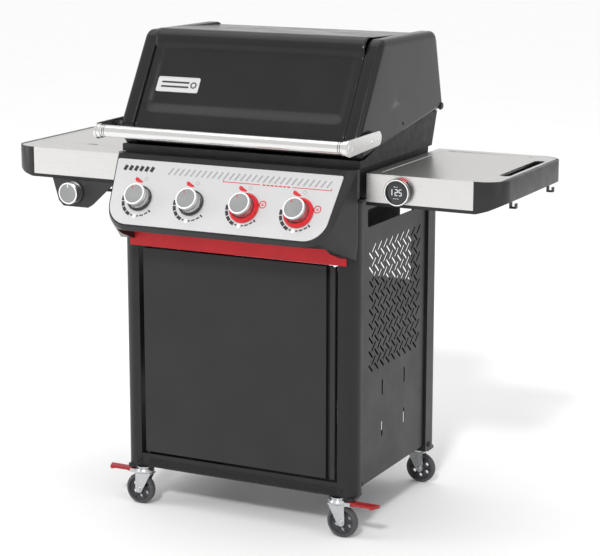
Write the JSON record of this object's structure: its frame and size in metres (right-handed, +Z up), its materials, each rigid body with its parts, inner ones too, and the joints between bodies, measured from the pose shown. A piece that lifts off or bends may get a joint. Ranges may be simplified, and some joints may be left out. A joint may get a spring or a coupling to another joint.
{
  "type": "gas barbecue grill",
  "caption": "Gas barbecue on a cart: hinged lid with tube handle, sloping control panel with knobs, side tables, side burner, cabinet door and swivel casters.",
  "frame": {"origin": "centre of the footprint's bounding box, on the floor under the wheels", "axes": "+X to the right seen from the front (longest extent), +Y to the back (shortest extent), +Z up; the front faces -Y"},
  "size_m": [1.35, 0.6537, 1.213],
  "materials": {
    "black_paint": "satin black powder coat",
    "lid_enamel": "satin black enamel",
    "cast_dark": "cast aluminium, dark coating",
    "grate_iron": "matt enamelled cast iron",
    "steel": "brushed stainless steel",
    "silver_panel": "fine silver metallic",
    "red_paint": "satin red",
    "zinc": "bright zinc plating",
    "plastic": "fine grained black plastic",
    "tread": "dark grey rubber and nylon",
    "brass": "dull brass",
    "knob_metal": "satin grey",
    "galvanised": "galvanised sheet"
  },
  "bodies": {
    "cart": {"leg_front_left": "black_paint", "leg_front_right": "black_paint", "leg_rear_left": "black_paint", "leg_rear_right": "black_paint", "side_panels": "black_paint", "back_panel": "black_paint", "bottom_shelf": "black_paint", "lower_front_rail": "black_paint", "rear_top_beam": "black_paint", "front_beam": "red_paint", "caster_plates": "black_paint", "cookbox": "cast_dark", "hinge_pins": "zinc", "burner_tubes": "steel", "heat_deflectors": "steel", "cooking_grates": "grate_iron", "warming_rack": "steel", "control_housing": "plastic", "control_panel": "silver_panel", "knob_bezels": "plastic", "gas_manifold": "brass", "right_table_top": "steel", "right_table_frame": "plastic", "table_fascias": "steel", "thermometer_pod": "plastic", "left_table_top": "steel", "left_table_frame": "plastic", "side_burner_bowl": "galvanised", "side_burner_grate": "grate_iron", "side_valve_bracket": "plastic", "tool_hooks": "plastic", "cart_screws": "black_paint"},
    "lid": {"lid_sheet": "lid_enamel", "lid_end_left": "cast_dark", "lid_end_right": "cast_dark", "handle_tube": "steel", "handle_brackets": "steel"},
    "door": {"door_panel": "black_paint"},
    "burner_cover": {"side_burner_lid": "steel"},
    "tray": {"grease_tray": "galvanised"},
    "stem_body_1": {"stem_1": "zinc"},
    "knob_body_1": {"knob_1": "knob_metal"},
    "stem_body_2": {"stem_2": "zinc"},
    "knob_body_2": {"knob_2": "knob_metal"},
    "stem_body_3": {"stem_3": "zinc"},
    "knob_body_3": {"knob_3": "knob_metal"},
    "stem_body_4": {"stem_4": "zinc"},
    "knob_body_4": {"knob_4": "knob_metal"},
    "stem_body_5": {"stem_5": "zinc"},
    "knob_body_5": {"knob_5": "knob_metal"},
    "caster_fl": {"caster_fork_fl": "zinc"},
    "wheel_body_fl": {"wheel_fl": "tread"},
    "caster_fr": {"caster_fork_fr": "zinc"},
    "wheel_body_fr": {"wheel_fr": "tread"},
    "caster_rl": {"caster_fork_rl": "zinc"},
    "wheel_body_rl": {"wheel_rl": "tread"},
    "caster_rr": {"caster_fork_rr": "zinc"},
    "wheel_body_rr": {"wheel_rr": "tread"},
    "brake_left": {"brake_lever_left": "red_paint"},
    "brake_right": {"brake_lever_right": "red_paint"}
  },
  "joints": [
    {"name": "lid_hinge", "type": "hinge", "parent": "cart", "child": "lid", "pos_m": [0, 0.3068, 1.01], "axis": [-1, 0, 0], "range_deg": [0, 60]},
    {"name": "door_hinge", "type": "hinge", "parent": "cart", "child": "door", "pos_m": [-0.258, -0.1892, 0.4], "axis": [0, 0, -1], "range_deg": [0, 110]},
    {"name": "burner_cover_hinge", "type": "hinge", "parent": "cart", "child": "burner_cover", "pos_m": [-0.507, 0.2508, 0.9], "axis": [-1, 0, 0], "range_deg": [0, 90]},
    {"name": "tray_slide", "type": "slide", "parent": "cart", "child": "tray", "axis": [0, 1, 0], "range_m": [0, 0.32]},
    {"name": "valve_1_turn", "type": "hinge", "parent": "cart", "child": "stem_body_1", "pos_m": [-0.2166, -0.28429, 0.81837], "axis": [0, -0.8526, 0.5225], "range_deg": [0, 225]},
    {"name": "knob_1_push", "type": "slide", "parent": "stem_body_1", "child": "knob_body_1", "axis": [0, 0.8526, -0.5225], "range_m": [0, 0.003], "stiffness_N_per_m": 1500, "springref_m": -0.002},
    {"name": "valve_2_turn", "type": "hinge", "parent": "cart", "child": "stem_body_2", "pos_m": [-0.0721, -0.28429, 0.81837], "axis": [0, -0.8526, 0.5225], "range_deg": [0, 225]},
    {"name": "knob_2_push", "type": "slide", "parent": "stem_body_2", "child": "knob_body_2", "axis": [0, 0.8526, -0.5225], "range_m": [0, 0.003], "stiffness_N_per_m": 1500, "springref_m": -0.002},
    {"name": "valve_3_turn", "type": "hinge", "parent": "cart", "child": "stem_body_3", "pos_m": [0.0721, -0.28429, 0.81837], "axis": [0, -0.8526, 0.5225], "range_deg": [0, 225]},
    {"name": "knob_3_push", "type": "slide", "parent": "stem_body_3", "child": "knob_body_3", "axis": [0, 0.8526, -0.5225], "range_m": [0, 0.003], "stiffness_N_per_m": 1500, "springref_m": -0.002},
    {"name": "valve_4_turn", "type": "hinge", "parent": "cart", "child": "stem_body_4", "pos_m": [0.2166, -0.28429, 0.81837], "axis": [0, -0.8526, 0.5225], "range_deg": [0, 225]},
    {"name": "knob_4_push", "type": "slide", "parent": "stem_body_4", "child": "knob_body_4", "axis": [0, 0.8526, -0.5225], "range_m": [0, 0.003], "stiffness_N_per_m": 1500, "springref_m": -0.002},
    {"name": "valve_5_turn", "type": "hinge", "parent": "cart", "child": "stem_body_5", "pos_m": [-0.483, -0.1652, 0.797], "axis": [0, -1, 0], "range_deg": [0, 225]},
    {"name": "knob_5_push", "type": "slide", "parent": "stem_body_5", "child": "knob_body_5", "axis": [0, 1, 0], "range_m": [0, 0.003], "stiffness_N_per_m": 1500, "springref_m": -0.002},
    {"name": "caster_fl_swivel", "type": "hinge", "parent": "cart", "child": "caster_fl", "pos_m": [-0.276, -0.1842, 0.09], "axis": [0, 0, 1], "continuous": true},
    {"name": "wheel_fl_roll", "type": "hinge", "parent": "caster_fl", "child": "wheel_body_fl", "pos_m": [-0.288, -0.1842, 0.04], "axis": [0, 1, 0], "continuous": true},
    {"name": "caster_fr_swivel", "type": "hinge", "parent": "cart", "child": "caster_fr", "pos_m": [0.276, -0.1842, 0.09], "axis": [0, 0, 1], "continuous": true},
    {"name": "wheel_fr_roll", "type": "hinge", "parent": "caster_fr", "child": "wheel_body_fr", "pos_m": [0.288, -0.1842, 0.04], "axis": [0, 1, 0], "continuous": true},
    {"name": "caster_rl_swivel", "type": "hinge", "parent": "cart", "child": "caster_rl", "pos_m": [-0.276, 0.3018, 0.09], "axis": [0, 0, 1], "continuous": true},
    {"name": "wheel_rl_roll", "type": "hinge", "parent": "caster_rl", "child": "wheel_body_rl", "pos_m": [-0.288, 0.3018, 0.04], "axis": [0, 1, 0], "continuous": true},
    {"name": "caster_rr_swivel", "type": "hinge", "parent": "cart", "child": "caster_rr", "pos_m": [0.276, 0.3018, 0.09], "axis": [0, 0, 1], "continuous": true},
    {"name": "wheel_rr_roll", "type": "hinge", "parent": "caster_rr", "child": "wheel_body_rr", "pos_m": [0.288, 0.3018, 0.04], "axis": [0, 1, 0], "continuous": true},
    {"name": "brake_left", "type": "hinge", "parent": "caster_fl", "child": "brake_left", "pos_m": [-0.308, -0.1842, 0.0885], "axis": [0, -1, 0], "range_deg": [0, 12]},
    {"name": "brake_right", "type": "hinge", "parent": "caster_fr", "child": "brake_right", "pos_m": [0.308, -0.1842, 0.0885], "axis": [0, 1, 0], "range_deg": [0, 12]}
  ]
}
